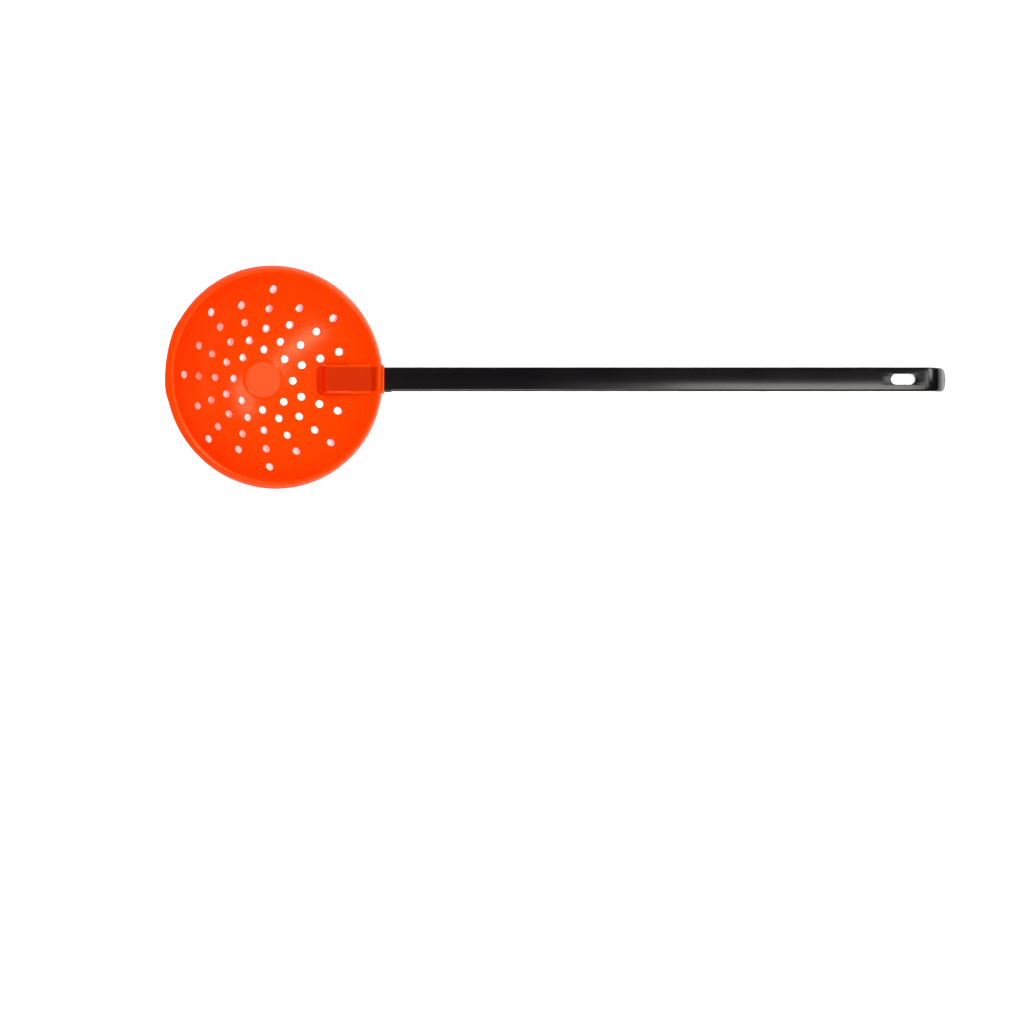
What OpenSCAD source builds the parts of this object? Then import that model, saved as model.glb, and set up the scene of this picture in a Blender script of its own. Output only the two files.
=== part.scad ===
// Ice skimmer: a perforated plastic bowl on a sleeved flat-bar handle.
// It lies as it does on a table: on the underside of the bowl and on the
// bent tip of the handle. X runs from the bowl to the handle's tip.

/* [Bowl] */
// Outside diameter over the rim
bowl_d = 145; // [135:1:160]
// Inside radius of the dished surface
dish_r = 80; // [78:1:90]
// Wall thickness
wall_t = 2; // [1.6:0.1:2.4]
// Diameter of the flat floor inside the dish
floor_d = 25; // [20:1:30]
// Radius at which the dish turns up into the steeper rim wall
turn_up_r = 62.8; // [60:0.1:64]
// Slope of the rim wall
rim_wall_slope = 59; // [56:1:64]
// Height of the rim's crest above the inside floor
rim_h = 38.5; // [37:0.5:41]
// Tilt of the rim plane towards the handle, as the scoop lies
bowl_tilt = 19.5; // [17:0.5:21]

/* [Rim] */
// Radius of the rounded crest
crest_r = 1.5; // [1.2:0.1:1.8]
// Drop from the crest to the lower edge of the turned-down lip
lip_drop = 4.9; // [4:0.1:5.5]
// Thickness of the turned-down lip
lip_t = 1.6; // [1.2:0.1:2]
// Radius of the scraper edge's flat outer arc
scraper_r = 95; // [85:1:105]
// How far the middle of the scraper edge stands out of the rim
scraper_out = 0.1; // [0:0.1:1.2]
// Turn of the scraper edge from the point opposite the handle
scraper_turn = 8; // [0:1:12]

/* [Drain holes] */
// Diameter of each drain hole
hole_d = 5; // [4:0.1:5.5]
// Number of spokes that the holes stand on
spokes = 16; // [16:2:16]
// Turn of the whole hole pattern
spoke_turn = -1.2; // [-3:0.1:3]

/* [Handle] */
// Width of the flat bar
bar_w = 15; // [12:0.5:15]
// Thickness of the flat bar
bar_t = 3; // [2:0.5:3]
// Radius on the bar's long edges
bar_edge_r = 1; // [0.5:0.1:1.2]
// Thickness of the sleeve over the bar
sleeve_t = 0.5; // [0.4:0.1:0.5]
// Length of handle that shows beyond the rim
reach = 373; // [300:1:450]
// Length of handle inside the rim
grip_in = 37; // [34:0.5:38]
// Height of the bar's middle above the table
bar_z = 13; // [12.8:0.1:13.2]
// Inside radius of the bend near the tip, on the bar
bend_r = 11.5; // [10:0.5:14]
// Angle of the bend near the tip
bend_a = 60; // [50:1:65]
// Radius of the corners of the bar's end
tip_corner_r = 4.5; // [3:0.5:5]
// Length of the hanging slot
slot_l = 16; // [12:0.5:20]
// Width of the hanging slot
slot_w = 7; // [5:0.5:8]
// Distance from the slot's middle to the very tip
slot_from_tip = 30.4; // [28:0.2:40]

/* [Socket] */
// Width of the socket over its side walls
socket_w = 19.6; // [19:0.1:21]
// Thickness of the socket's roof and floor
socket_t = 1.9; // [1.6:0.1:2.2]
// How far the mouth stands out of the rim
mouth_out = 0.8; // [0.5:0.1:3]
// Lean of the socket's inner end wall
end_lean = 22; // [15:1:25]
// Clearance between the socket and the handle
socket_gap = 0.1; // [0.05:0.05:0.15]
// Diameter of the retaining screw's thread
screw_d = 3.4; // [3:0.1:3.6]
// Diameter of the retaining screw's head
screw_head_d = 6.8; // [6:0.1:7.2]
// Height of the retaining screw's head
screw_head_h = 2.2; // [1.8:0.1:2.4]

/* [Hidden] */
$fn = 96;
eps = 0.01;

// Bowl section, in its own frame: r from the axis, z from the inside floor
bowl_r = bowl_d / 2;
floor_r = floor_d / 2;
dish_out_r = dish_r + wall_t;
dish_centre_z = sqrt(dish_r * dish_r - floor_r * floor_r);
under_floor_z = dish_centre_z - sqrt(dish_out_r * dish_out_r - floor_r * floor_r);
floor_a = asin(floor_r / dish_r);
turn_up_a = asin(turn_up_r / dish_r);
turn_up_z = dish_centre_z - dish_r * cos(turn_up_a);
wall_dir = [cos(rim_wall_slope), sin(rim_wall_slope)];
wall_in = [-sin(rim_wall_slope), cos(rim_wall_slope)];
crest_z = rim_h - crest_r;
crest_start_z = crest_z + crest_r * wall_in[1];
crest_start_r = turn_up_r + (crest_start_z - turn_up_z) * wall_dir[0] / wall_dir[1];
crest_centre_r = crest_start_r - crest_r * wall_in[0];
lip_round_r = 0.8;
lip_edge_z = rim_h - lip_drop;
lip_slope_a = 36;
lip_groove_z = lip_edge_z + 1.8;
outer_turn_r = turn_up_r - wall_t * wall_in[0];
outer_turn_z = turn_up_z - wall_t * wall_in[1];
arc_steps = 12;
corner_steps = 6;

// Drain holes: even spokes carry the even rings, odd spokes the odd rings
ring_r = [20, 27.5, 33.5, 39.5, 46, 51, 58];
hole_reach = 7;

// Scraper edge: a lens between a flat arc and two easing arcs
scraper_ease_r = 39.3;
scraper_ease_x = -bowl_r + 34.9;
scraper_flat_x = scraper_r - bowl_r - scraper_out;
scraper_t = 2.6;
scraper_in_r = bowl_r - 1.3;

// Resting place: the dish's outer sphere touches the table
rest_x = dish_centre_z * sin(bowl_tilt);
rest_z = dish_out_r - dish_centre_z * cos(bowl_tilt);
rim_edge_x = bowl_r * cos(bowl_tilt) + (lip_edge_z + lip_round_r) * sin(bowl_tilt);
scraper_x = -(bowl_r + scraper_out) * cos(bowl_tilt) + lip_edge_z * sin(bowl_tilt);
tip_x = rim_edge_x + reach;
bowl_x = -(tip_x + scraper_x) / 2;

// Handle, in the same frame as the table
sleeve_w = bar_w + 2 * sleeve_t;
sleeve_h = bar_t + 2 * sleeve_t;
bend_mid_r = bend_r + bar_t / 2;
bar_in_x = bowl_x + rim_edge_x - grip_in;
bend_out_r = bend_mid_r + sleeve_h / 2;
leg_drop = bar_z - bend_mid_r * (1 - cos(bend_a)) - sleeve_h / 2 * cos(bend_a);
leg_l = leg_drop / sin(bend_a);
bend_x = bowl_x + tip_x - bend_out_r * sin(bend_a) - leg_l * cos(bend_a);
slot_x = bowl_x + tip_x - slot_from_tip;

// Socket
socket_low = bar_z - sleeve_h / 2 - socket_gap - socket_t;
socket_top = bar_z + sleeve_h / 2 + socket_gap + socket_t;
mouth_x = bowl_x + rim_edge_x + mouth_out;
socket_in_x = bar_in_x - socket_t;
mouth_chamfer = 1.8;
window_w = 14;
window_in_x = bar_in_x - 1.5;
window_out_x = bar_in_x + 15;
screw_x = bar_in_x + 7;
screw_pilot_d = screw_d - 0.4;

// Points along an arc, from one angle to another
function arc(cr, cz, r, a0, a1, n) =
    [for (i = [0:n]) let (a = a0 + (a1 - a0) * i / n) [cr + r * cos(a), cz + r * sin(a)]];

// Outline of the bowl's wall, from the inside floor over the rim to the underside
function bowl_outline() = concat(
    [[0, 0]],
    arc(0, dish_centre_z, dish_r, floor_a - 90, turn_up_a - 90, arc_steps),
    arc(crest_centre_r, crest_z, crest_r, 90 + rim_wall_slope, lip_slope_a, corner_steps),
    arc(bowl_r - lip_round_r, lip_edge_z + lip_round_r, lip_round_r, lip_slope_a, -90, corner_steps),
    [[bowl_r - lip_t, lip_edge_z], [bowl_r - lip_t, lip_groove_z]],
    [wall_outside(lip_groove_z)],
    [[outer_turn_r, outer_turn_z]],
    arc(0, dish_centre_z, dish_out_r, turn_up_a - 90, -90 + asin(floor_r / dish_out_r), arc_steps),
    [[0, under_floor_z]]
);

// Point on the outside of the rim wall at a given height
function wall_outside(z) = [outer_turn_r + (z - outer_turn_z) * wall_dir[0] / wall_dir[1], z];

// Height of the dish's inside surface at a given radius
function dish_z(r) = dish_centre_z - sqrt(dish_r * dish_r - r * r);

// Corner points of a rounded rectangle
function rounded_rect(w, h, r) = concat(
    arc(w / 2 - r, h / 2 - r, r, 0, 90, corner_steps),
    arc(-w / 2 + r, h / 2 - r, r, 90, 180, corner_steps),
    arc(-w / 2 + r, -h / 2 + r, r, 180, 270, corner_steps),
    arc(w / 2 - r, -h / 2 + r, r, 270, 360, corner_steps)
);

// Puts a shape of the bowl's own frame where the bowl lies
module in_bowl() {
    translate([bowl_x, 0, rest_z]) rotate([0, bowl_tilt, 0]) children();
}

// Everything inside the outer skin, used to trim the socket
module bowl_envelope() {
    in_bowl() rotate_extrude() polygon(concat(
        [[0, under_floor_z + eps]],
        arc(0, dish_centre_z, dish_out_r - eps, -90 + asin(floor_r / dish_out_r), turn_up_a - 90, arc_steps),
        [wall_outside(lip_groove_z), [0, lip_groove_z]]
    ));
}

module drain_holes() {
    for (spoke = [0:spokes - 1], ring = [0:len(ring_r) - 1])
        if (spoke % 2 == ring % 2 && (spoke > 0 || ring == 0))
            rotate([0, 0, spoke * 360 / spokes + spoke_turn])
                translate([ring_r[ring], 0, dish_z(ring_r[ring]) - hole_reach])
                    cylinder(d = hole_d, h = 2 * hole_reach);
}

module scraper_edge() {
    rotate([0, 0, -scraper_turn]) translate([0, 0, lip_edge_z]) linear_extrude(scraper_t)
        difference() {
            intersection() {
                translate([scraper_flat_x, 0]) circle(r = scraper_r, $fn = 180);
                translate([scraper_ease_x, 0]) circle(r = scraper_ease_r);
            }
            circle(r = scraper_in_r);
        }
}

// Solid block of the socket: a raised box inside the dish, a collar outside it
module socket_block() {
    intersection() {
        bowl_envelope();
        difference() {
            translate([socket_in_x - socket_t - 4, -socket_w / 2, 0])
                cube([mouth_x - socket_in_x, socket_w, socket_top]);
            translate([socket_in_x, -socket_w, socket_top]) rotate([0, 90 + end_lean, 0])
                translate([-socket_top, 0, -4 * socket_top])
                    cube([3 * socket_top, 2 * socket_w, 4 * socket_top]);
        }
    }
    translate([0, 0, socket_low]) linear_extrude(socket_top - socket_low) polygon([
        [window_out_x, -socket_w / 2],
        [mouth_x - mouth_chamfer, -socket_w / 2],
        [mouth_x, -socket_w / 2 + mouth_chamfer],
        [mouth_x, socket_w / 2 - mouth_chamfer],
        [mouth_x - mouth_chamfer, socket_w / 2],
        [window_out_x, socket_w / 2]
    ]);
}

module bowl() {
    color([0.98, 0.25, 0.02]) difference() {
        union() {
            in_bowl() difference() {
                rotate_extrude() polygon(bowl_outline());
                drain_holes();
            }
            in_bowl() scraper_edge();
            socket_block();
        }
        translate([bar_in_x - socket_gap, -sleeve_w / 2 - socket_gap, bar_z - sleeve_h / 2 - socket_gap])
            cube([2 * grip_in, sleeve_w + 2 * socket_gap, sleeve_h + 2 * socket_gap]);
        translate([window_in_x, -window_w / 2, -eps])
            cube([window_out_x - window_in_x, window_w, socket_low + eps]);
        translate([screw_x, 0, socket_low - eps]) cylinder(d = screw_d + 0.2, h = socket_t + 2 * eps);
    }
}

// The flat strip's shape: straight, bent down near the tip, and rounded at its end
module strip(w, h, edge_r, corner_r, end_x, tip_l) {
    section = rounded_rect(w, h, edge_r);
    translate([end_x, 0, bar_z]) rotate([90, 0, 90]) linear_extrude(bend_x - end_x) polygon(section);
    translate([bend_x, 0, bar_z - bend_mid_r]) rotate([90, 0, 0]) rotate([0, 0, 90 - bend_a])
        rotate_extrude(angle = bend_a) translate([bend_mid_r, 0]) rotate(90) mirror([0, 1]) polygon(section);
    translate([bend_x, 0, bar_z - bend_mid_r]) rotate([0, bend_a, 0]) translate([0, 0, bend_mid_r])
        intersection() {
            rotate([90, 0, 90]) linear_extrude(2 * tip_l) polygon(section);
            translate([0, 0, -h]) linear_extrude(2 * h) {
                translate([-w, -w]) square([w + tip_l - corner_r, 2 * w]);
                translate([-w, -w / 2 + corner_r]) square([w + tip_l, w - 2 * corner_r]);
                for (side = [-1, 1])
                    translate([tip_l - corner_r, side * (w / 2 - corner_r)]) circle(r = corner_r);
            }
        }
}

// Hanging slot with round ends, cut through the handle
module hanging_slot() {
    straight = slot_l - slot_w;
    translate([slot_x, 0, bar_z - sleeve_h]) {
        translate([-straight / 2, -slot_w / 2, 0]) cube([straight, slot_w, 2 * sleeve_h]);
        for (side = [-1, 1])
            translate([side * straight / 2, 0, 0]) cylinder(d = slot_w, h = 2 * sleeve_h);
    }
}

module screw_hole(d) {
    translate([screw_x, 0, 0]) cylinder(d = d, h = bar_z + bar_t / 2 - eps);
}

module handle_bar() {
    color([0.78, 0.78, 0.8]) difference() {
        strip(bar_w, bar_t, bar_edge_r, tip_corner_r, bar_in_x, leg_l - sleeve_t);
        hanging_slot();
        screw_hole(screw_pilot_d);
    }
}

module handle_sleeve() {
    color([0.06, 0.06, 0.07]) difference() {
        strip(sleeve_w, sleeve_h, bar_edge_r + sleeve_t, tip_corner_r + sleeve_t, bar_in_x, leg_l);
        strip(bar_w, bar_t, bar_edge_r, tip_corner_r, bar_in_x - 1, leg_l - sleeve_t);
        hanging_slot();
        screw_hole(screw_d + 0.2);
    }
}

module retaining_screw() {
    shank_l = bar_z + bar_t / 2 - socket_low;
    translate([screw_x, 0, socket_low]) color([0.75, 0.75, 0.77]) difference() {
        union() {
            cylinder(d = screw_pilot_d, h = shank_l - 2 * eps);
            rotate_extrude() polygon(concat(
                [[0, 0], [screw_head_d / 2, 0]],
                arc(screw_head_d / 2 - 1.2, -screw_head_h + 1.2, 1.2, 0, -90, corner_steps),
                [[0, -screw_head_h]]
            ));
        }
        for (turn = [0, 90])
            rotate([0, 0, turn]) translate([-1.8, -0.4, -screw_head_h - eps]) cube([3.6, 0.8, 1.3]);
    }
}

bowl();
handle_bar();
handle_sleeve();
retaining_screw();
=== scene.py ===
"""Ice skimmer: a perforated moulded bowl on a sleeved strip handle, on a pale table."""

import logging
import math
from collections.abc import Callable, Iterator, Sequence
from contextlib import contextmanager
from dataclasses import dataclass, field
from enum import Enum

import bmesh
import bpy
from mathutils import Matrix, Vector


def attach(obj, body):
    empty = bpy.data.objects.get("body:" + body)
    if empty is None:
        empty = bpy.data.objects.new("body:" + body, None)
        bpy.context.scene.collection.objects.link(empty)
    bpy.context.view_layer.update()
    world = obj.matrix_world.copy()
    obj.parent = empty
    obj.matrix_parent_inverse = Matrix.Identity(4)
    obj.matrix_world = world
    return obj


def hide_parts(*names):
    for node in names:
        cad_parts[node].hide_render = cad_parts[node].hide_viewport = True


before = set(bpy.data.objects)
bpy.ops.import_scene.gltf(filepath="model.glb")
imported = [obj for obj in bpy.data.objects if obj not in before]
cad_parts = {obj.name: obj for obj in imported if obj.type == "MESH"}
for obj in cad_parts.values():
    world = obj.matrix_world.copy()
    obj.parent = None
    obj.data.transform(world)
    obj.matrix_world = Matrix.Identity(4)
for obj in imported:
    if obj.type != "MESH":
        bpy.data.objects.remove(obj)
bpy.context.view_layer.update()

log = logging.getLogger("ice_skimmer")

MM = 0.001
TILT = math.radians(19.5)
BOWL_X = -197.8023 * MM
BOWL_Z = 7.5149 * MM
AXIS = Vector((math.sin(TILT), 0.0, math.cos(TILT)))
BAR_Z = 13.0 * MM
# Places along the handle, in millimetres: the rim's edge, the bar's inner end, the tip
RIM_X = -117.978
BAR_IN_X = RIM_X - 37.0
TIP_X = RIM_X + 373.0

Object = bpy.types.Object
Material = bpy.types.Material
Node = bpy.types.Node
Socket = bpy.types.NodeSocket
Place = Sequence[float]


class Cut(Enum):
    """What a boolean does with its second body."""

    REMOVE = "DIFFERENCE"
    JOIN = "UNION"
    KEEP_COMMON = "INTERSECT"


class Shows(Enum):
    """What a soft light does to the object."""

    LIGHT = "lights surfaces, with its mirror image polarised away"
    IMAGE = "leaves a mirror image on glossy surfaces, too dim to light them"


class Reach(Enum):
    """What a soft light falls on, as the scene's own name for how it is linked to the table."""

    ALL = ""
    TABLE = "INCLUDE"
    OBJECT = "EXCLUDE"


# ---------------------------------------------------------------- workbench


def mm(*values: float) -> Vector:
    """A place or a step given in millimetres, as a vector in metres."""
    return Vector([v * MM for v in values])


def in_bowl(r: float, z: float, turn: float = 0.0) -> Vector:
    """A place in the tilted bowl.

    Args:
        r: distance from the bowl's axis, in millimetres.
        z: height over the inside floor, in millimetres.
        turn: angle round the axis from the handle's side, in radians.

    Returns:
        The place in the row frame, in metres.
    """
    x, y = r * MM * math.cos(turn), r * MM * math.sin(turn)
    z *= MM
    return Vector(
        (
            BOWL_X + x * math.cos(TILT) + z * math.sin(TILT),
            y,
            BOWL_Z - x * math.sin(TILT) + z * math.cos(TILT),
        )
    )


def bowl_place(p: Vector) -> Vector:
    """The reverse of in_bowl: a row frame place in the bowl's own frame, in millimetres."""
    x, z = p.x - BOWL_X, p.z - BOWL_Z
    return Vector(
        (
            (x * math.cos(TILT) - z * math.sin(TILT)) / MM,
            p.y / MM,
            (x * math.sin(TILT) + z * math.cos(TILT)) / MM,
        )
    )


def arc(centre: Place, r: float, start: float, end: float, steps: int) -> list[tuple[float, float]]:
    """Points along an arc.

    Args:
        centre: its middle.
        r: its radius.
        start: first angle in degrees.
        end: last angle in degrees.
        steps: number of chords.

    Returns:
        The points, ends included.
    """
    angles = [math.radians(start + (end - start) * i / steps) for i in range(steps + 1)]
    return [(centre[0] + r * math.cos(a), centre[1] + r * math.sin(a)) for a in angles]


@contextmanager
def editing(obj: Object) -> Iterator[None]:
    """Opens a piece in edit mode with nothing selected in it.

    Args:
        obj: the piece.

    Yields:
        Nothing; the piece is back in object mode afterwards.
    """
    choose(obj)
    bpy.ops.object.mode_set(mode="EDIT")
    bpy.ops.mesh.select_mode(type="VERT")
    bpy.ops.mesh.select_all(action="DESELECT")
    yield
    bpy.ops.object.mode_set(mode="OBJECT")


def choose(obj: Object) -> None:
    """Makes a piece the only selected and the active one."""
    bpy.ops.object.select_all(action="DESELECT")
    obj.select_set(True)
    bpy.context.view_layer.objects.active = obj


def pick_vertices(obj: Object, wanted: Callable[[Vector], bool]) -> int:
    """Selects the vertices of the piece in edit mode whose place passes a test.

    Args:
        obj: the piece in edit mode.
        wanted: the test, on a place in the row frame.

    Returns:
        How many were selected.
    """
    mesh = bmesh.from_edit_mesh(obj.data)
    for v in mesh.verts:
        v.select = wanted(obj.matrix_world @ v.co)
    mesh.select_flush_mode()
    bmesh.update_edit_mesh(obj.data)
    return sum(v.select for v in mesh.verts)


def pick_edges(obj: Object, wanted: Callable[[bmesh.types.BMEdge], bool]) -> int:
    """Selects the edges of the piece in edit mode that pass a test.

    Args:
        obj: the piece in edit mode.
        wanted: the test.

    Returns:
        How many were selected.
    """
    bpy.ops.mesh.select_mode(type="EDGE")
    mesh = bmesh.from_edit_mesh(obj.data)
    picked = [e for e in mesh.edges if wanted(e)]
    for e in picked:
        e.select_set(True)
    bmesh.update_edit_mesh(obj.data)
    return len(picked)


def settle(obj: Object, name: str) -> Object:
    """Names a piece and puts its place in its mesh, with its origin at the row frame's."""
    choose(obj)
    bpy.ops.object.transform_apply(location=True, rotation=True, scale=True)
    obj.name = obj.data.name = name
    return obj


def draw_path(points: Sequence[Vector]) -> Object:
    """Draws a chain of edges, leaving it open in edit mode.

    Args:
        points: where it goes, in the row frame.

    Returns:
        The new object, in edit mode with its last vertex selected.
    """
    bpy.ops.object.select_all(action="DESELECT")
    bpy.ops.mesh.primitive_plane_add(size=MM, location=points[0])
    obj = bpy.context.object
    bpy.ops.object.mode_set(mode="EDIT")
    bpy.ops.mesh.select_mode(type="VERT")
    bpy.ops.mesh.select_all(action="SELECT")
    bpy.ops.mesh.merge(type="CENTER")
    for here, there in zip(points, points[1:]):
        bpy.ops.mesh.extrude_region_move(TRANSFORM_OT_translate={"value": there - here})
    return obj


def close_skin(merge: float = 0.002) -> None:
    """Merges doubles within merge millimetres and turns every face outwards, in edit mode."""
    bpy.ops.mesh.select_all(action="SELECT")
    bpy.ops.mesh.remove_doubles(threshold=merge * MM)
    bpy.ops.mesh.normals_make_consistent(inside=False)


def lathe(name: str, outline: Sequence[Vector], steps: int) -> Object:
    """Spins an outline round the bowl's axis into a closed skin.

    Args:
        name: the new piece's name.
        outline: the section, from the axis round and back to the axis.
        steps: number of facets round.

    Returns:
        The closed piece.
    """
    obj = draw_path(outline)
    bpy.ops.mesh.select_all(action="SELECT")
    bpy.ops.mesh.spin(steps=steps, angle=math.tau, center=in_bowl(0, 0), axis=AXIS)
    close_skin()
    bpy.ops.object.mode_set(mode="OBJECT")
    return settle(obj, name)


def combine(body: Object, tool: Object, how: Cut, keep_tool: bool = False) -> None:
    """Joins, cuts or trims a piece with another one.

    Args:
        body: the piece that changes.
        tool: the other piece.
        how: which boolean.
        keep_tool: whether the other piece stays afterwards.
    """
    choose(body)
    cut = body.modifiers.new("cut", "BOOLEAN")
    cut.operation, cut.solver, cut.object = how.value, "EXACT", tool
    bpy.ops.object.modifier_apply(modifier=cut.name)
    if not keep_tool:
        bpy.data.objects.remove(tool)


def block(name: str, low: Place, high: Place) -> Object:
    """A box between two corners given in millimetres, as a start for a shape."""
    centre = [(a + b) / 2 for a, b in zip(low, high)]
    bpy.ops.object.select_all(action="DESELECT")
    bpy.ops.mesh.primitive_cube_add(size=1, location=mm(*centre))
    obj = bpy.context.object
    obj.scale = mm(*[b - a for a, b in zip(low, high)])
    return settle(obj, name)


def smooth(obj: Object, angle: float = 32.0) -> None:
    """Shades a piece smooth wherever its faces meet within an angle in degrees."""
    choose(obj)
    bpy.ops.object.shade_smooth_by_angle(angle=math.radians(angle), keep_sharp_edges=False)


# ---------------------------------------------------------------- finishes


def srgb(text: str) -> tuple[float, float, float, float]:
    """A hex colour as linear RGBA."""
    parts = [int(text.lstrip("#")[i : i + 2], 16) / 255 for i in (0, 2, 4)]
    return (*[c / 12.92 if c <= 0.04045 else ((c + 0.055) / 1.055) ** 2.4 for c in parts], 1.0)


@dataclass
class Recipe:
    """A material being made, and the tree that its nodes go into."""

    name: str
    material: Material = field(init=False)

    def __post_init__(self) -> None:
        """Makes the material with an empty tree."""
        self.material = bpy.data.materials.new(self.name)
        self.material.use_nodes = True
        self.material.node_tree.nodes.clear()

    def add(self, kind: str, links: dict[str, Socket] | None = None, **settings: object) -> Node:
        """Adds a node.

        Args:
            kind: its type, without the ShaderNode in front.
            links: sockets that feed its inputs, by input name or number.
            **settings: its properties, or values of inputs whose names use _ for a space.

        Returns:
            The node.
        """
        node = self.material.node_tree.nodes.new("ShaderNode" + kind)
        for key, value in settings.items():
            if hasattr(node, key):
                setattr(node, key, value)
            else:
                title = key[2:] if key.startswith("i_") else key.replace("_", " ")
                node.inputs[int(title) if title.isdigit() else title].default_value = value
        for key, source in (links or {}).items():
            node_input = node.inputs[int(key) if key.isdigit() else key]
            self.material.node_tree.links.new(source, node_input)
        return node

    def finish(self, surface: Socket) -> Material:
        """Links the last shader to the output and returns the material."""
        self.add("OutputMaterial", {"Surface": surface})
        return self.material


def ramp(node: Node, *stops: tuple[float, Sequence[float]]) -> Node:
    """Sets a colour ramp's stops.

    Args:
        node: the ramp.
        *stops: places and linear colours, in order.

    Returns:
        The same node.
    """
    elements = node.color_ramp.elements
    while len(elements) > 1:
        elements.remove(elements[-1])
    elements[0].position, elements[0].color = stops[0]
    for place, colour in stops[1:]:
        elements.new(place).color = colour
    return node


@dataclass(frozen=True)
class OrangePolypropylene:
    """Injection-moulded polypropylene, 2 mm thick and slightly translucent.

    It glows a little where light comes through. It has shade painted on the socket's roof where the
    dark bar and the socket's empty end lie behind the thin wall.
    """

    colour: str = "#F54903"
    lit: str = "#F84F03"
    # Painted shade: the roof's darker tones over the dark bar and over the socket's empty end
    bar_shade: str = "#D43002"
    gap_shade: str = "#E82903"
    ior: float = 1.49
    specular: float = 0.25
    roughness: float = 0.22
    see_through: float = 0.42

    def make(self) -> Material:
        """Builds the bowl's material.

        Returns:
            The material.
        """
        m = Recipe("polypropylene_orange_moulded")
        where = m.add("TexCoord").outputs["Object"]
        xyz = m.add("SeparateXYZ", {"Vector": where})
        # Pigment drifts over 40 mm or so as the melt flows from the gate
        flow = m.add("TexNoise", {"Vector": where}, Scale=25.0, Detail=2.0, Roughness=0.5)
        base = ramp(
            m.add("ValToRGB", {"Fac": flow.outputs["Fac"]}),
            (0.35, srgb(self.colour)),
            (0.68, srgb(self.lit)),
        )
        # Painted shade on the socket's roof, where the dark bar and the socket's empty end lie
        # behind the thin wall
        bar = self._patch(m, xyz, (BAR_IN_X - 0.6, RIM_X - 3.8), 8.0, 1.3)
        gap = self._patch(m, xyz, (BAR_IN_X - 8.0, BAR_IN_X), 8.6, 1.6)
        return self._shade(m, where, base.outputs["Color"], bar, gap)

    def _patch(
        self, m: Recipe, xyz: Node, span: tuple[float, float], half: float, soft: float
    ) -> Socket:
        """A soft-edged rectangle of painted shade on the socket's roof.

        Args:
            m: the recipe it goes into.
            xyz: the separated place.
            span: its ends along the handle, in millimetres.
            half: half its width, in millimetres.
            soft: width of its soft edge, in millimetres.

        Returns:
            A factor, 1 inside.
        """
        x, z = xyz.outputs["X"], xyz.outputs["Z"]
        side = m.add("Math", {"0": xyz.outputs["Y"]}, operation="ABSOLUTE").outputs[0]
        out = self._step(m, x, span[0] - soft, span[0] + soft)
        for part in (
            self._step(m, x, span[1] + soft, span[1] - soft),
            self._step(m, side, half + soft / 2, half - soft / 2),
            # The roof lies 17 mm over the table, and the wall below the bar never gets the painted
            # shade
            self._step(m, z, 12.0, 15.5),
        ):
            out = m.add("Math", {"0": out, "1": part}, operation="MULTIPLY").outputs[0]
        return out

    def _step(self, m: Recipe, value: Socket, zero: float, one: float) -> Socket:
        """A soft step.

        Args:
            m: the recipe it goes into.
            value: the place that it depends on.
            zero: where it is 0, in millimetres.
            one: where it is 1, in millimetres.

        Returns:
            A factor from 0 to 1.
        """
        return m.add(
            "MapRange",
            {"Value": value},
            interpolation_type="SMOOTHSTEP",
            From_Min=zero * MM,
            From_Max=one * MM,
        ).outputs[0]

    def _shade(
        self, m: Recipe, where: Socket, base: Socket, bar: Socket, gap: Socket
    ) -> Material:
        """Puts the plastic's colour, the shade painted over the socket, gloss and glow together.

        Args:
            m: the recipe.
            where: the place on the piece.
            base: the plain colour.
            bar: where shade is painted for the dark bar behind the roof.
            gap: where shade is painted for the empty end of the socket behind the roof.

        Returns:
            The material.
        """
        colour = base
        # Painted shade: darker tones over the bar and the socket's empty end, standing in for light
        # that the thin wall would not pass there
        for factor, tone in ((gap, self.gap_shade), (bar, self.bar_shade)):
            links = {"Factor": factor, "6": colour}
            colour = m.add("Mix", links, data_type="RGBA", i_7=srgb(tone)).outputs[2]
        # Spark-finished mould: grain of about 0.5 mm, drawn at 0.9 mm so that it shows
        grain = m.add("TexNoise", {"Vector": where}, Scale=1100.0, Detail=2.0)
        # Sink and flow ripples 12 mm apart
        ripple = m.add("TexNoise", {"Vector": where}, Scale=80.0, Detail=1.0)
        fine = m.add("Bump", {"Height": grain.outputs["Fac"]}, Strength=0.06, Distance=0.2 * MM)
        bump = m.add(
            "Bump",
            {"Height": ripple.outputs["Fac"], "Normal": fine.outputs["Normal"]},
            Strength=0.10,
            Distance=0.6 * MM,
        )
        worn = m.add(
            "MapRange",
            {"Value": grain.outputs["Fac"]},
            To_Min=self.roughness - 0.04,
            To_Max=self.roughness + 0.06,
        )
        plastic = m.add(
            "BsdfPrincipled",
            {"Base Color": colour, "Roughness": worn.outputs[0], "Normal": bump.outputs["Normal"]},
            IOR=self.ior,
            Specular_IOR_Level=self.specular,
            Specular_Tint=(1.0, 0.95, 0.5, 1.0),
            Subsurface_Weight=0.12,
            Subsurface_Scale=1.2 * MM,
            Subsurface_Radius=(1.0, 0.3, 0.1),
        )
        glow = m.add("BsdfTranslucent", {"Color": colour, "Normal": bump.outputs["Normal"]})
        both = {"1": plastic.outputs[0], "2": glow.outputs[0]}
        mixed = m.add("MixShader", both, i_0=self.see_through)
        return m.finish(mixed.outputs[0])


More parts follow.
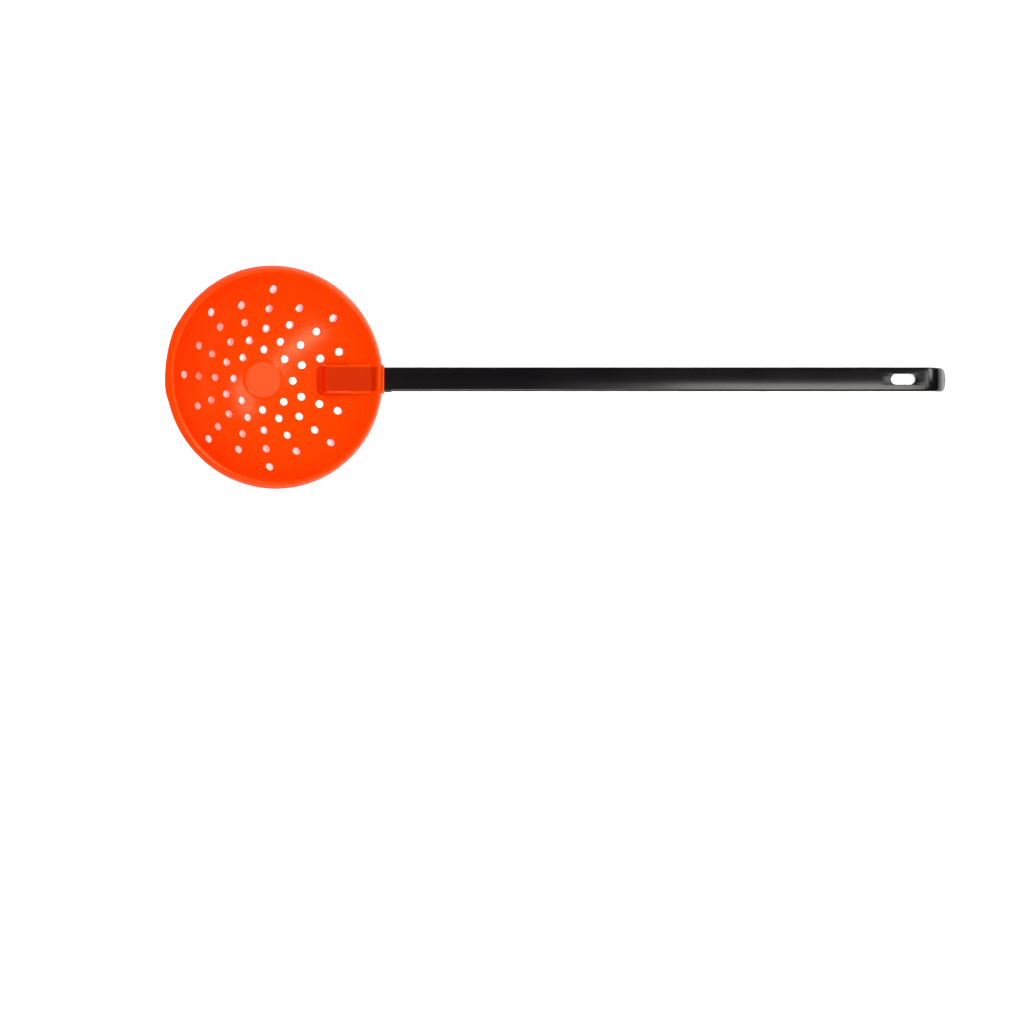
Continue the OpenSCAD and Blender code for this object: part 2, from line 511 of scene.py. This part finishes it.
@dataclass(frozen=True)
class BlackSleeve:
    """Black PVC sleeve shrunk on to the bar: glossy, with faint lengthwise drag lines."""

    colour: str = "#0A080A"
    sheen: str = "#110E10"
    ior: float = 1.53
    specular: float = 0.25
    roughness: float = 0.15

    def make(self) -> Material:
        """Builds the sleeve's material.

        Returns:
            The material.
        """
        m = Recipe("pvc_black_shrunk")
        where = m.add("TexCoord").outputs["Object"]
        # Drag lines run along the handle: 60 mm long and 1.5 mm apart
        along = m.add("Mapping", {"Vector": where}, Scale=(16.0, 650.0, 650.0))
        drag = m.add("TexNoise", {"Vector": along.outputs[0]}, Scale=1.0, Detail=2.0)
        # Slow waves where the sleeve shrank unevenly, 45 mm long
        wave = m.add("TexNoise", {"Vector": where}, Scale=22.0, Detail=1.0)
        colour = ramp(
            m.add("ValToRGB", {"Fac": wave.outputs["Fac"]}),
            (0.35, srgb(self.colour)),
            (0.70, srgb(self.sheen)),
        )
        fine = m.add("Bump", {"Height": drag.outputs["Fac"]}, Strength=0.04, Distance=0.1 * MM)
        bump = m.add(
            "Bump",
            {"Height": wave.outputs["Fac"], "Normal": fine.outputs["Normal"]},
            Strength=0.10,
            Distance=1.0 * MM,
        )
        rough = m.add(
            "MapRange",
            {"Value": drag.outputs["Fac"]},
            To_Min=self.roughness - 0.03,
            To_Max=self.roughness + 0.06,
        )
        pvc = m.add(
            "BsdfPrincipled",
            {
                "Base Color": colour.outputs["Color"],
                "Roughness": rough.outputs[0],
                "Normal": bump.outputs["Normal"],
            },
            IOR=self.ior,
            Specular_IOR_Level=self.specular,
        )
        return m.finish(pvc.outputs[0])


@dataclass(frozen=True)
class DrawnAluminium:
    """Mill-finish aluminium strip: pale grey, with fine die lines along its length."""

    colour: str = "#D2D4D8"
    shade: str = "#B4B7BC"
    roughness: float = 0.34

    def make(self) -> Material:
        """Builds the bar's material.

        Returns:
            The material.
        """
        m = Recipe("aluminium_drawn_strip")
        where = m.add("TexCoord").outputs["Object"]
        # Die lines: 0.3 mm apart across the strip and 80 mm long
        along = m.add("Mapping", {"Vector": where}, Scale=(12.0, 3300.0, 3300.0))
        lines = m.add("TexNoise", {"Vector": along.outputs[0]}, Scale=1.0, Detail=3.0)
        colour = ramp(
            m.add("ValToRGB", {"Fac": lines.outputs["Fac"]}),
            (0.3, srgb(self.shade)),
            (0.7, srgb(self.colour)),
        )
        bump = m.add("Bump", {"Height": lines.outputs["Fac"]}, Strength=0.15, Distance=0.05 * MM)
        metal = m.add(
            "BsdfPrincipled",
            {"Base Color": colour.outputs["Color"], "Normal": bump.outputs["Normal"]},
            Metallic=1.0,
            Roughness=self.roughness,
        )
        return m.finish(metal.outputs[0])


@dataclass(frozen=True)
class ZincPlate:
    """Bright zinc plating on a steel screw: silvery, slightly blotched."""

    colour: str = "#C9CCD2"
    shade: str = "#A3A6AD"
    roughness: float = 0.3

    def make(self) -> Material:
        """Builds the screw's material.

        Returns:
            The material.
        """
        m = Recipe("steel_zinc_plated")
        where = m.add("TexCoord").outputs["Object"]
        # Plating blotches about 1.2 mm across
        spots = m.add("TexNoise", {"Vector": where}, Scale=830.0, Detail=2.0)
        colour = ramp(
            m.add("ValToRGB", {"Fac": spots.outputs["Fac"]}),
            (0.35, srgb(self.shade)),
            (0.65, srgb(self.colour)),
        )
        metal = m.add(
            "BsdfPrincipled",
            {"Base Color": colour.outputs["Color"]},
            Metallic=1.0,
            Roughness=self.roughness,
        )
        return m.finish(metal.outputs[0])


@dataclass(frozen=True)
class PaleTable:
    """White laminate table top, with a barely visible mottle."""

    colour: str = "#F7F7F8"
    shade: str = "#F1F1F3"

    def make(self) -> Material:
        """Builds the table's material.

        Returns:
            The material.
        """
        m = Recipe("laminate_white_matt")
        where = m.add("TexCoord").outputs["Object"]
        # Mottle 200 mm across
        mottle = m.add("TexNoise", {"Vector": where}, Scale=5.0, Detail=2.0)
        colour = ramp(
            m.add("ValToRGB", {"Fac": mottle.outputs["Fac"]}),
            (0.3, srgb(self.shade)),
            (0.7, srgb(self.colour)),
        )
        top = m.add("BsdfPrincipled", {"Base Color": colour.outputs["Color"]}, Roughness=0.8)
        return m.finish(top.outputs[0])


def dress(obj: Object, material: Material, body: str = "root", slot: str | None = None) -> None:
    """Gives a piece its finish, and a new piece its body.

    Args:
        obj: the piece.
        material: its finish.
        body: the body it rides on.
        slot: a name given for a new piece; only whether one is given is read, and a piece given one
            is attached to its body.
    """
    obj.data.materials.clear()
    obj.data.materials.append(material)
    if slot:
        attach(obj, body)


# ---------------------------------------------------------------- bowl


@dataclass
class Bowl:
    """The moulded bowl: dish, rim, scraper edge, drain holes and handle socket."""

    dish_r: float = 80.0
    wall: float = 2.0
    floor_r: float = 12.5
    turn_r: float = 62.8
    rim_slope: float = 59.0
    rim_h: float = 38.5
    crest_r: float = 1.5
    lip_drop: float = 4.9
    lip_t: float = 1.6
    rim_r: float = 72.5
    facets: int = 240
    hole_r: float = 2.5
    rings: tuple[float, ...] = (20.0, 27.5, 33.5, 39.5, 46.0, 51.0, 58.0)
    hole_turn: float = -1.2
    scraper_turn: float = 172.0
    finish: OrangePolypropylene = field(default_factory=OrangePolypropylene)

    def __post_init__(self) -> None:
        """Works out the heights that follow from the sizes."""
        self.centre_z = math.sqrt(self.dish_r**2 - self.floor_r**2)
        self.turn_z = self.centre_z - math.sqrt(self.dish_r**2 - self.turn_r**2)
        self.lip_z = self.rim_h - self.lip_drop
        slope = math.radians(self.rim_slope)
        self.wall_in = (-math.sin(slope), math.cos(slope))
        self.wall_run = math.cos(slope) / math.sin(slope)
        self.out_r = self.turn_r - self.wall * self.wall_in[0]
        self.out_z = self.turn_z - self.wall * self.wall_in[1]

    def dish_z(self, r: float) -> float:
        """Height of the inside surface at a radius of the dish."""
        return self.centre_z - math.sqrt(self.dish_r**2 - r * r)

    def inside(self) -> list[tuple[float, float]]:
        """The inside of the section: disc, its fine groove, dish and rim wall.

        Returns:
            Points from the axis to the foot of the crest.
        """
        groove = 0.3
        out = [(0.0, 0.0), (4.0, 0.0), (8.0, 0.0), (self.floor_r - 0.75, 0.0)]
        out += [(self.floor_r - 0.45, -groove * 0.7), (self.floor_r - 0.25, -groove)]
        dish_r = self.floor_r + 0.35
        out += [(self.floor_r, -groove * 0.6), (dish_r, self.dish_z(dish_r))]
        start = math.degrees(math.asin(dish_r / self.dish_r)) - 90
        # The dish eases into the rim wall over about 4 mm
        blend_r = self.turn_r - 2.2
        end = math.degrees(math.asin(blend_r / self.dish_r)) - 90
        out += arc((0, self.centre_z), self.dish_r, start, end, 30)[1:]
        p0, p1 = out[-1], (self.turn_r, self.turn_z)
        p2 = (self.turn_r + 2.2 * self.wall_run, self.turn_z + 2.2)
        for i in range(1, 7):
            t = i / 6
            near, mid, far = (1 - t) ** 2, 2 * t * (1 - t), t * t
            out.append(tuple(near * a + mid * b + far * c for a, b, c in zip(p0, p1, p2)))
        return out

    def section(self) -> list[tuple[float, float]]:
        """The whole section, from the axis over the rim and back under the dish.

        Returns:
            Points as (radius, height) in millimetres.
        """
        crest_z = self.rim_h - self.crest_r
        start_z = crest_z + self.crest_r * self.wall_in[1]
        start_r = self.turn_r + (start_z - self.turn_z) * self.wall_run
        crest = (start_r - self.crest_r * self.wall_in[0], crest_z)
        out = self.inside()
        low = out[-1]
        rise_r, rise_z = start_r - low[0], start_z - low[1]
        out += [(low[0] + rise_r * t, low[1] + rise_z * t) for t in (0.25, 0.5, 0.75)]
        out += arc(crest, self.crest_r, 90 + self.rim_slope, 36, 10)
        out += arc((self.rim_r - 0.8, self.lip_z + 0.8), 0.8, 36, -90, 8)
        inner = self.rim_r - self.lip_t
        out += [(inner + 0.25, self.lip_z), (inner, self.lip_z + 0.25), (inner, self.lip_z + 1.8)]
        groove_z = self.lip_z + 1.8
        wall_r = self.out_r + (groove_z - self.out_z) * self.wall_run
        out += [(wall_r + 0.3, groove_z), (wall_r, groove_z - 0.3)]
        out += [((wall_r + self.out_r) / 2, (groove_z - 0.3 + self.out_z) / 2)]
        out += [(self.out_r, self.out_z)]
        outer = self.dish_r + self.wall
        start = math.degrees(math.asin(self.turn_r / self.dish_r)) - 90
        end = math.degrees(math.asin(self.floor_r / outer)) - 90
        out += arc((0, self.centre_z), outer, start, end, 26)[1:]
        out.append((0.0, out[-1][1]))
        return out

    def widen_scraper(self, obj: Object) -> None:
        """Draws the lip outwards along the flat scraper edge, one facet after another."""
        step = math.tau / self.facets
        middle = math.radians(self.scraper_turn)
        with editing(obj):
            for i in range(self.facets):
                turn = i * step
                off = (turn - middle + math.pi) % math.tau - math.pi
                if abs(off) > math.radians(21):
                    continue
                near = [self.scraper_out(off + step * k / 2) for k in range(-5, 6)]
                if sum(near) > 0.1:
                    self._push_column(obj, turn, step, sum(near) / len(near))

    def scraper_out(self, off: float) -> float:
        """How far the scraper edge stands out of the rim, in millimetres.

        Args:
            off: angle from the scraper's middle.

        Returns:
            The distance, 0 where the rim is plain.
        """
        flat = -22.4 * math.cos(off) + math.sqrt(95.0**2 - (22.4 * math.sin(off)) ** 2)
        ease = 37.6 * math.cos(off) + math.sqrt(39.3**2 - (37.6 * math.sin(off)) ** 2)
        return max(min(flat, ease) - self.rim_r, 0.0)

    def _push_column(self, obj: Object, turn: float, step: float, out: float) -> None:
        """Moves one facet's lip vertices outwards, and its upper ones up a little.

        Args:
            obj: the bowl in edit mode.
            turn: the facet's angle.
            step: angle between facets.
            out: how far, in millimetres.
        """

        def on_lip(p: Vector) -> bool:
            """Whether a place is on this facet's lip."""
            q = bowl_place(p)
            near = abs((math.atan2(q.y, q.x) - turn + math.pi) % math.tau - math.pi) < step / 3
            return near and math.hypot(q.x, q.y) > self.rim_r - 0.85 and q.z < self.lip_z + 2.2

        if pick_vertices(obj, on_lip):
            shift = in_bowl(out, 0, turn) - in_bowl(0, 0)
            bpy.ops.transform.translate(value=shift)

    def drill(self, obj: Object) -> None:
        """Cuts the drain holes: even spokes carry the even rings, odd spokes the odd ones."""
        bpy.ops.object.select_all(action="DESELECT")
        bpy.ops.mesh.primitive_cylinder_add(
            radius=MM, depth=MM, vertices=40, location=mm(0, 0, 300)
        )
        drills = bpy.context.object
        bpy.ops.object.mode_set(mode="EDIT")
        bpy.ops.mesh.select_all(action="SELECT")
        bpy.ops.mesh.delete(type="VERT")
        for turn, r in self.hole_places():
            bpy.ops.mesh.primitive_cylinder_add(
                radius=self.hole_r * MM,
                depth=12 * MM,
                vertices=40,
                location=in_bowl(r, self.dish_z(r), turn),
                rotation=(0, TILT, 0),
            )
        bpy.ops.object.mode_set(mode="OBJECT")
        settle(drills, "drills")
        combine(obj, drills, Cut.REMOVE)

    def hole_places(self) -> list[tuple[float, float]]:
        """Angle and radius of every drain hole."""
        places = []
        for spoke in range(16):
            for ring, r in enumerate(self.rings):
                if spoke % 2 == ring % 2 and (spoke > 0 or ring == 0):
                    places.append((math.radians(spoke * 22.5 + self.hole_turn), r))
        return places

    def soften_holes(self, obj: Object) -> None:
        """Rounds the drain holes' edges by a quarter of a millimetre."""
        centres = [(r * math.cos(a), r * math.sin(a)) for a, r in self.hole_places()]

        def on_rim(e: bmesh.types.BMEdge) -> bool:
            """Whether an edge runs round a hole's mouth."""
            if len(e.link_faces) != 2 or e.calc_face_angle(0) < math.radians(35):
                return False
            q = bowl_place((e.verts[0].co + e.verts[1].co) / 2)
            return any(abs(math.hypot(q.x - x, q.y - y) - self.hole_r) < 0.15 for x, y in centres)

        with editing(obj):
            count = pick_edges(obj, on_rim)
            bpy.ops.mesh.bevel(offset=0.22 * MM, segments=2, affect="EDGES", clamp_overlap=False)
        log.info("rounded %d edges round the drain holes", count)

    def build(self) -> Object:
        """Models the bowl.

        Returns:
            The piece.
        """
        outline = [in_bowl(r, z) for r, z in self.section()]
        bowl = lathe("bowl_moulding", outline, self.facets)
        self.widen_scraper(bowl)
        HandleSocket().fit(bowl, self)
        self.drill(bowl)
        self.soften_holes(bowl)
        smooth(bowl)
        return bowl

    def make(self) -> None:
        """Builds and dresses the bowl, in place of the CAD one."""
        bowl = self.build()
        dress(bowl, self.finish.make(), slot="bowl_plastic")
        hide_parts("bowl")
        log.info("bowl: %d faces", len(bowl.data.polygons))


@dataclass
class HandleSocket:
    """The handle's socket: a raised roof inside the dish and a collar outside the rim."""

    half_w: float = 9.8
    top: float = 17.0
    low: float = 9.0
    foot_x: float = BAR_IN_X - 9.0
    roof_x: float = BAR_IN_X - 2.0
    mouth_x: float = RIM_X + 0.8

    def fit(self, bowl: Object, shape: Bowl) -> None:
        """Moulds the socket into the bowl and opens it.

        Args:
            bowl: the lathed bowl.
            shape: the bowl's sizes.
        """
        roof = self.roof_block()
        combine(roof, self.envelope(shape), Cut.KEEP_COMMON)
        combine(bowl, roof, Cut.JOIN)
        combine(bowl, self.collar(), Cut.JOIN)
        self.open_up(bowl)

    def roof_block(self) -> Object:
        """The raised box, with a leaning inner end and rounded upper edges.

        Returns:
            The block, still square at its foot.
        """
        roof = block("roof", (self.foot_x, -self.half_w, 0), (RIM_X - 3.4, self.half_w, self.top))
        with editing(roof):
            pick_vertices(roof, lambda p: p.x < -160 * MM and p.z > 10 * MM)
            bpy.ops.transform.translate(value=mm(self.roof_x - self.foot_x, 0, 0))
            bpy.ops.mesh.select_all(action="DESELECT")
            pick_edges(roof, self._upright_inner)
            bpy.ops.mesh.bevel(offset=3.6 * MM, segments=7, affect="EDGES")
            bpy.ops.mesh.select_all(action="DESELECT")
            pick_edges(roof, self._top_rim)
            bpy.ops.mesh.bevel(offset=1.8 * MM, segments=6, affect="EDGES")
        return roof

    def _upright_inner(self, e: bmesh.types.BMEdge) -> bool:
        """Whether an edge is one of the two leaning corners of the inner end."""
        a, b = e.verts[0].co, e.verts[1].co
        return abs(a.z - b.z) > 10 * MM and max(a.x, b.x) < -150 * MM

    def _top_rim(self, e: bmesh.types.BMEdge) -> bool:
        """Whether an edge runs round the roof, except where it meets the rim."""
        a, b = e.verts[0].co, e.verts[1].co
        high = min(a.z, b.z) > (self.top - 0.01) * MM
        return high and min(a.x, b.x) < (RIM_X - 4.0) * MM

    def envelope(self, shape: Bowl) -> Object:
        """A solid just inside the bowl's outer skin, to trim the roof's foot with."""
        outer = shape.dish_r + shape.wall - 0.4
        end = math.degrees(math.asin(shape.turn_r / shape.dish_r)) - 90
        start = math.degrees(math.asin(shape.floor_r / outer)) - 90
        skin = arc((0, shape.centre_z), outer, start, end, 26)
        top = shape.lip_z + 1.4
        skin.append((skin[-1][0] + (top - skin[-1][1]) * shape.wall_run, top))
        outline = [(0.0, skin[0][1]), *skin, (0.0, top)]
        return lathe("envelope", [in_bowl(r, z) for r, z in outline], 96)

    def collar(self) -> Object:
        """The mouth of the socket outside the rim, with chamfered corners."""
        collar = block(
            "collar",
            (BAR_IN_X + 15.0, -self.half_w, self.low),
            (self.mouth_x, self.half_w, self.top),
        )
        with editing(collar):
            pick_edges(collar, self._mouth_upright)
            bpy.ops.mesh.bevel(offset=1.8 * MM, segments=2, affect="EDGES")
            bpy.ops.mesh.select_all(action="DESELECT")
            pick_edges(collar, self._mouth_rim)
            bpy.ops.mesh.bevel(offset=0.4 * MM, segments=2, affect="EDGES")
        return collar

    def _mouth_upright(self, e: bmesh.types.BMEdge) -> bool:
        """Whether an edge is one of the mouth's two upright corners."""
        a, b = e.verts[0].co, e.verts[1].co
        return abs(a.z - b.z) > 5 * MM and min(a.x, b.x) > RIM_X * MM

    def _mouth_rim(self, e: bmesh.types.BMEdge) -> bool:
        """Whether an edge runs round the mouth's face."""
        a, b = e.verts[0].co, e.verts[1].co
        return min(a.x, b.x) > (RIM_X - 1.5) * MM and abs(a.z - b.z) < MM

    def open_up(self, bowl: Object) -> None:
        """Cuts the bar's pocket, the window under it and the screw's hole."""
        gap = 0.1
        pocket = block(
            "pocket",
            (BAR_IN_X - gap, -8 - gap, 11 - gap),
            (RIM_X + 20, 8 + gap, 15 + gap),
        )
        combine(bowl, pocket, Cut.REMOVE)
        window = block("window", (BAR_IN_X - 1.5, -7, -5), (BAR_IN_X + 15, 7, self.low))
        combine(bowl, window, Cut.REMOVE)
        bpy.ops.object.select_all(action="DESELECT")
        bpy.ops.mesh.primitive_cylinder_add(
            radius=1.8 * MM, depth=6 * MM, vertices=32, location=mm(BAR_IN_X + 7, 0, 9.5)
        )
        combine(bowl, settle(bpy.context.object, "screw_hole"), Cut.REMOVE)


# ---------------------------------------------------------------- handle


@dataclass
class Sleeve:
    """The black sleeve, from inside the socket to the closed, bent tip."""

    half_w: float = 8.0
    half_h: float = 2.0
    edge_r: float = 1.5
    crown: float = 0.28
    bend_a: float = 60.0
    bend_mid_r: float = 13.0
    corner_r: float = 5.0
    finish: BlackSleeve = field(default_factory=BlackSleeve)

    def __post_init__(self) -> None:
        """Works out where the bend starts and how long the leg is."""
        bend = math.radians(self.bend_a)
        drop = BAR_Z / MM - self.bend_mid_r * (1 - math.cos(bend)) - self.half_h * math.cos(bend)
        self.leg = drop / math.sin(bend)
        self.bend_x = (
            TIP_X
            - (self.bend_mid_r + self.half_h) * math.sin(bend)
            - self.leg * math.cos(bend)
        )

    def section(self) -> list[tuple[float, float]]:
        """The crowned section, as (across, up) from its middle, in millimetres."""
        w, h, r = self.half_w, self.half_h, self.edge_r
        shoulder = h - self.crown
        right = arc((w - r, shoulder - r), r, 0, 86, 7)
        top = [
            (y, h - self.crown * (abs(y) / (w - r)) ** 2.0)
            for y in (5.2, 3.9, 2.6, 1.3, 0, -1.3, -2.6, -3.9, -5.2)
        ]
        left = [(-y, z) for y, z in reversed(right)]
        upper = right + top + left
        return upper + [(-y, -z) for y, z in upper]

    def sweep(self, name: str) -> Object:
        """Draws the section and carries it along the handle, round the bend to the tip.

        Args:
            name: the new piece's name.

        Returns:
            The solid strip.
        """
        ring = [mm(BAR_IN_X, y, BAR_Z / MM + z) for y, z in self.section()]
        obj = draw_path(ring)
        bpy.ops.mesh.select_all(action="SELECT")
        bpy.ops.mesh.edge_face_add()
        for x, bulge in self.stations():
            self._carry(x, bulge)
        pivot = mm(self.bend_x, 0, BAR_Z / MM - self.bend_mid_r)
        bpy.ops.mesh.spin(
            steps=14, angle=math.radians(self.bend_a), center=pivot, axis=(0, -1, 0)
        )
        self.shape_tip()
        close_skin(0.001)
        bpy.ops.object.mode_set(mode="OBJECT")
        return settle(obj, name)

    def stations(self) -> list[tuple[float, float]]:
        """Places along the handle where the section is carried to.

        Returns:
            Each place with the width of the fold there, in millimetres. The sleeve is
            bunched into a fold where it was pushed up against the socket.
        """
        fold = ((0.0, 0.0), (1.2, 0.45), (2.2, 0.62), (3.2, 0.55), (4.2, 0.6), (5.0, 0.4))
        first = [(RIM_X + step, wide) for step, wide in (*fold, (5.8, 0.0), (7.0, 0.0))]
        start = first[-1][0]
        return first + [(start + (self.bend_x - start) * i / 24, 0.0) for i in range(1, 25)]

    def _carry(self, x: float, bulge: float) -> None:
        """Extrudes the selected end face to a station, in edit mode.

        Args:
            x: the station, in millimetres.
            bulge: how far its front side stands out there.
        """

        def at_end(p: Vector) -> bool:
            """Whether a place is on the end face."""
            return abs(p.x - x * MM) < 1e-6

        obj = bpy.context.object
        ends = [obj.matrix_world @ v.co for v in bmesh.from_edit_mesh(obj.data).verts if v.select]
        here, front = max(p.x for p in ends), min(p.y for p in ends)
        bpy.ops.mesh.extrude_region_move(TRANSFORM_OT_translate={"value": (x * MM - here, 0, 0)})
        shift = -(self.half_w + bulge) * MM - front
        if abs(shift) > 1e-7:
            pick_vertices(obj, lambda p: at_end(p) and p.y < -5.5 * MM)
            bpy.ops.transform.translate(value=(0, shift, 0))
            pick_vertices(obj, at_end)

    def shape_tip(self) -> None:
        """Extrudes the leg after the bend and rounds its corners and its end."""
        bend = math.radians(self.bend_a)
        along = Vector((math.cos(bend), 0, -math.sin(bend)))
        straight = self.leg - self.corner_r
        steps = [(straight, self.half_w)]
        for i in range(1, 11):
            a = math.radians(90 * i / 10)
            steps.append(
                (
                    straight + self.corner_r * math.sin(a),
                    self.half_w - self.corner_r * (1 - math.cos(a)),
                )
            )
        at, wide = 0.0, self.half_w
        for s, w in steps:
            bpy.ops.mesh.extrude_region_move(
                TRANSFORM_OT_translate={"value": along * ((s - at) * MM)}
            )
            factor = max(w / wide, 0.05)
            bpy.ops.transform.resize(value=(1, factor, 1))
            at, wide = s, w

    def make(self) -> None:
        """Builds and dresses the sleeve, in place of the CAD one."""
        sleeve = self.sweep("black_sleeve")
        slot = HangingSlot()
        combine(sleeve, slot.chamber(), Cut.REMOVE)
        combine(sleeve, slot.cutter(), Cut.REMOVE)
        slot.soften(sleeve)
        smooth(sleeve, 40)
        dress(sleeve, self.finish.make(), slot="sleeve_pvc")
        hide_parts("handle_sleeve")
        log.info("sleeve: %d faces", len(sleeve.data.polygons))


@dataclass
class HangingSlot:
    """The slot near the tip, with round ends."""

    length: float = 16.0
    width: float = 7.0
    from_tip: float = 30.4

    def chamber(self) -> Object:
        """A box in the sleeve round the bar, so that the bar's metal shows in the slot's wall."""
        x = TIP_X - self.from_tip
        return block("chamber", (x - 11, -7.51, 11.49), (x + 11, 7.51, 13.9))

    def soften(self, sleeve: Object) -> None:
        """Rounds the slot's edges, where the sleeve was cut."""
        x = (TIP_X - self.from_tip) * MM

        def on_edge(e: bmesh.types.BMEdge) -> bool:
            """Whether an edge runs round the slot's mouth."""
            p = (e.verts[0].co + e.verts[1].co) / 2
            near = abs(p.x - x) < 8.5 * MM and abs(p.y) < 3.6 * MM
            return near and abs(p.z - BAR_Z) > 1.7 * MM and e.calc_face_angle(0) > math.radians(60)

        with editing(sleeve):
            pick_edges(sleeve, on_edge)
            bpy.ops.mesh.bevel(offset=0.3 * MM, segments=3, affect="EDGES")

    def cutter(self) -> Object:
        """A plug of the slot's shape."""
        half = (self.length - self.width) / 2
        bpy.ops.object.select_all(action="DESELECT")
        bpy.ops.mesh.primitive_cylinder_add(
            radius=self.width / 2 * MM,
            depth=12 * MM,
            vertices=48,
            location=mm(TIP_X - self.from_tip - half, 0, BAR_Z / MM),
        )
        plug = settle(bpy.context.object, "slot_plug")
        with editing(plug):
            middle = (TIP_X - self.from_tip - half + 0.01) * MM
            pick_vertices(plug, lambda p: p.x > middle)
            bpy.ops.transform.translate(value=(2 * half * MM, 0, 0))
        return plug


# ---------------------------------------------------------------- studio


@dataclass(frozen=True)
class SoftBox:
    """A soft rectangular light.

    Its brightness is its radiance, which is what its mirror image on the object shows.
    Places are in millimetres and the sides in metres.
    """

    name: str
    at: Place
    to: Place
    size: tuple[float, float]
    brightness: float
    along: Place = (1, 0, 0)
    shows: Shows = Shows.IMAGE
    colour: Place = (1.0, 1.0, 1.0)
    reach: Reach = Reach.ALL

    def hang(self, table_top: Object) -> None:
        """Hangs the light.

        Args:
            table_top: the table, which the light is kept for or kept off.
        """
        data = bpy.data.lights.new(self.name, "AREA")
        data.shape, data.size, data.size_y = "RECTANGLE", *self.size
        data.energy = self.brightness * math.pi * self.size[0] * self.size[1]
        data.color = self.colour
        lamp = bpy.data.objects.new(self.name, data)
        bpy.context.scene.collection.objects.link(lamp)
        back = (mm(*self.at) - mm(*self.to)).normalized()
        side = (Vector(self.along) - back * back.dot(Vector(self.along))).normalized()
        turn = Matrix((side, back.cross(side), back)).transposed().to_4x4()
        lamp.matrix_world = Matrix.Translation(mm(*self.at)) @ turn
        lamp.visible_camera = False
        lamp.visible_glossy = self.shows is Shows.IMAGE
        lamp.visible_diffuse = lamp.visible_transmission = self.shows is Shows.LIGHT
        if self.reach is not Reach.ALL:
            group = bpy.data.collections.new(self.name + "_link")
            group.objects.link(table_top)
            group.collection_objects[0].light_linking.link_state = self.reach.value
            lamp.light_linking.receiver_collection = group


@dataclass
class Studio:
    """The table, the soft lights and the camera."""

    camera_at: tuple[float, float, float] = (-33.1, -87.5, 1664.1)
    lens: float = 88.0
    sky: float = 0.04

    def make(self) -> None:
        """Sets up everything around the object."""
        table_top = self.table()
        for light in (*self.mirrored(), *self.lighting()):
            light.hang(table_top)
        self.room()
        self.camera()

    def table(self) -> Object:
        """Lays the pale table top, far larger than the view.

        Returns:
            The table top.
        """
        bpy.ops.object.select_all(action="DESELECT")
        bpy.ops.mesh.primitive_plane_add(size=8.0, location=(0, 0, -0.05 * MM))
        top = settle(bpy.context.object, "table_top")
        dress(top, PaleTable().make())
        return top

    def mirrored(self) -> list[SoftBox]:
        """The lights that only leave highlights.

        Returns:
            One for the sleeve's lower half, one for the disc in the bowl, one for the
            crescent beside the disc and the handle's tip, and a strip for the streak.
        """
        bowl, sleeve = (-170, 0, 20), (0, 0, 0)
        warm, strip = (1.0, 0.92, 0.89), (-0.81, -0.37, -0.58)
        return [
            SoftBox("over_handle", (350, -250, 1500), sleeve, (0.36, 0.41), 13.0, colour=warm),
            SoftBox("over_right", (800, 100, 1500), bowl, (0.5, 0.5), 5.5),
            SoftBox("right", (960, 470, 875), bowl, (0.8, 0.4), 11.0, (0, 1, 0)),
            SoftBox("front_left", (-297, -707, 1105), bowl, (1.0, 0.24), 16.0, strip),
        ]

    def lighting(self) -> list[SoftBox]:
        """The lights that only light surfaces, straight down.

        Returns:
            A fill for the object, two that whiten the table, one of them slanting through
            the drain holes, and the orange light that the thin plastic passes down to it.
        """
        white = (1.0, 1.0, 1.0)
        plans = (
            ("fill", (100, -60, 1600), (1.6, 1.8), 6.0, white, Reach.OBJECT),
            ("table_wide", (-20, -88, 1500), (0.66, 2.0), 17.0, white, Reach.TABLE),
            ("table_slant", (150, -100, 1500), (0.2, 0.2), 115.0, white, Reach.TABLE),
            ("glow", (-228, 0, 14), (0.075, 0.10), 0.6, (1.0, 0.10, 0.02), Reach.TABLE),
        )
        return [
            SoftBox(name, at, (*at[:2], 0), size, bright, (1, 0, 0), Shows.LIGHT, colour, reach)
            for name, at, size, bright, colour, reach in plans
        ]

    def room(self) -> None:
        """Sets the room's own faint light."""
        world = bpy.data.worlds.new("room")
        bpy.context.scene.world = world
        world.use_nodes = True
        sky = world.node_tree.nodes["Background"]
        sky.inputs["Color"].default_value = (1, 1, 1, 1)
        sky.inputs["Strength"].default_value = self.sky

    def camera(self) -> None:
        """Hangs the camera straight over the table, looking down."""
        data = bpy.data.cameras.new("camera")
        data.lens, data.sensor_width = self.lens, 36.0
        data.clip_start, data.clip_end = 0.05, 20.0
        camera = bpy.data.objects.new("camera", data)
        camera.location = mm(*self.camera_at)
        bpy.context.scene.collection.objects.link(camera)
        bpy.context.scene.camera = camera
        bpy.context.scene.view_settings.view_transform = "Standard"


def main() -> None:
    """Builds the skimmer piece by piece and sets it on the table."""
    logging.basicConfig(level=logging.INFO, format="%(name)s: %(message)s")
    Bowl().make()
    Sleeve().make()
    dress(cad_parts["handle_bar"], DrawnAluminium().make())
    dress(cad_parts["retaining_screw"], ZincPlate().make())
    Studio().make()


if __name__ == "__main__":
    main()
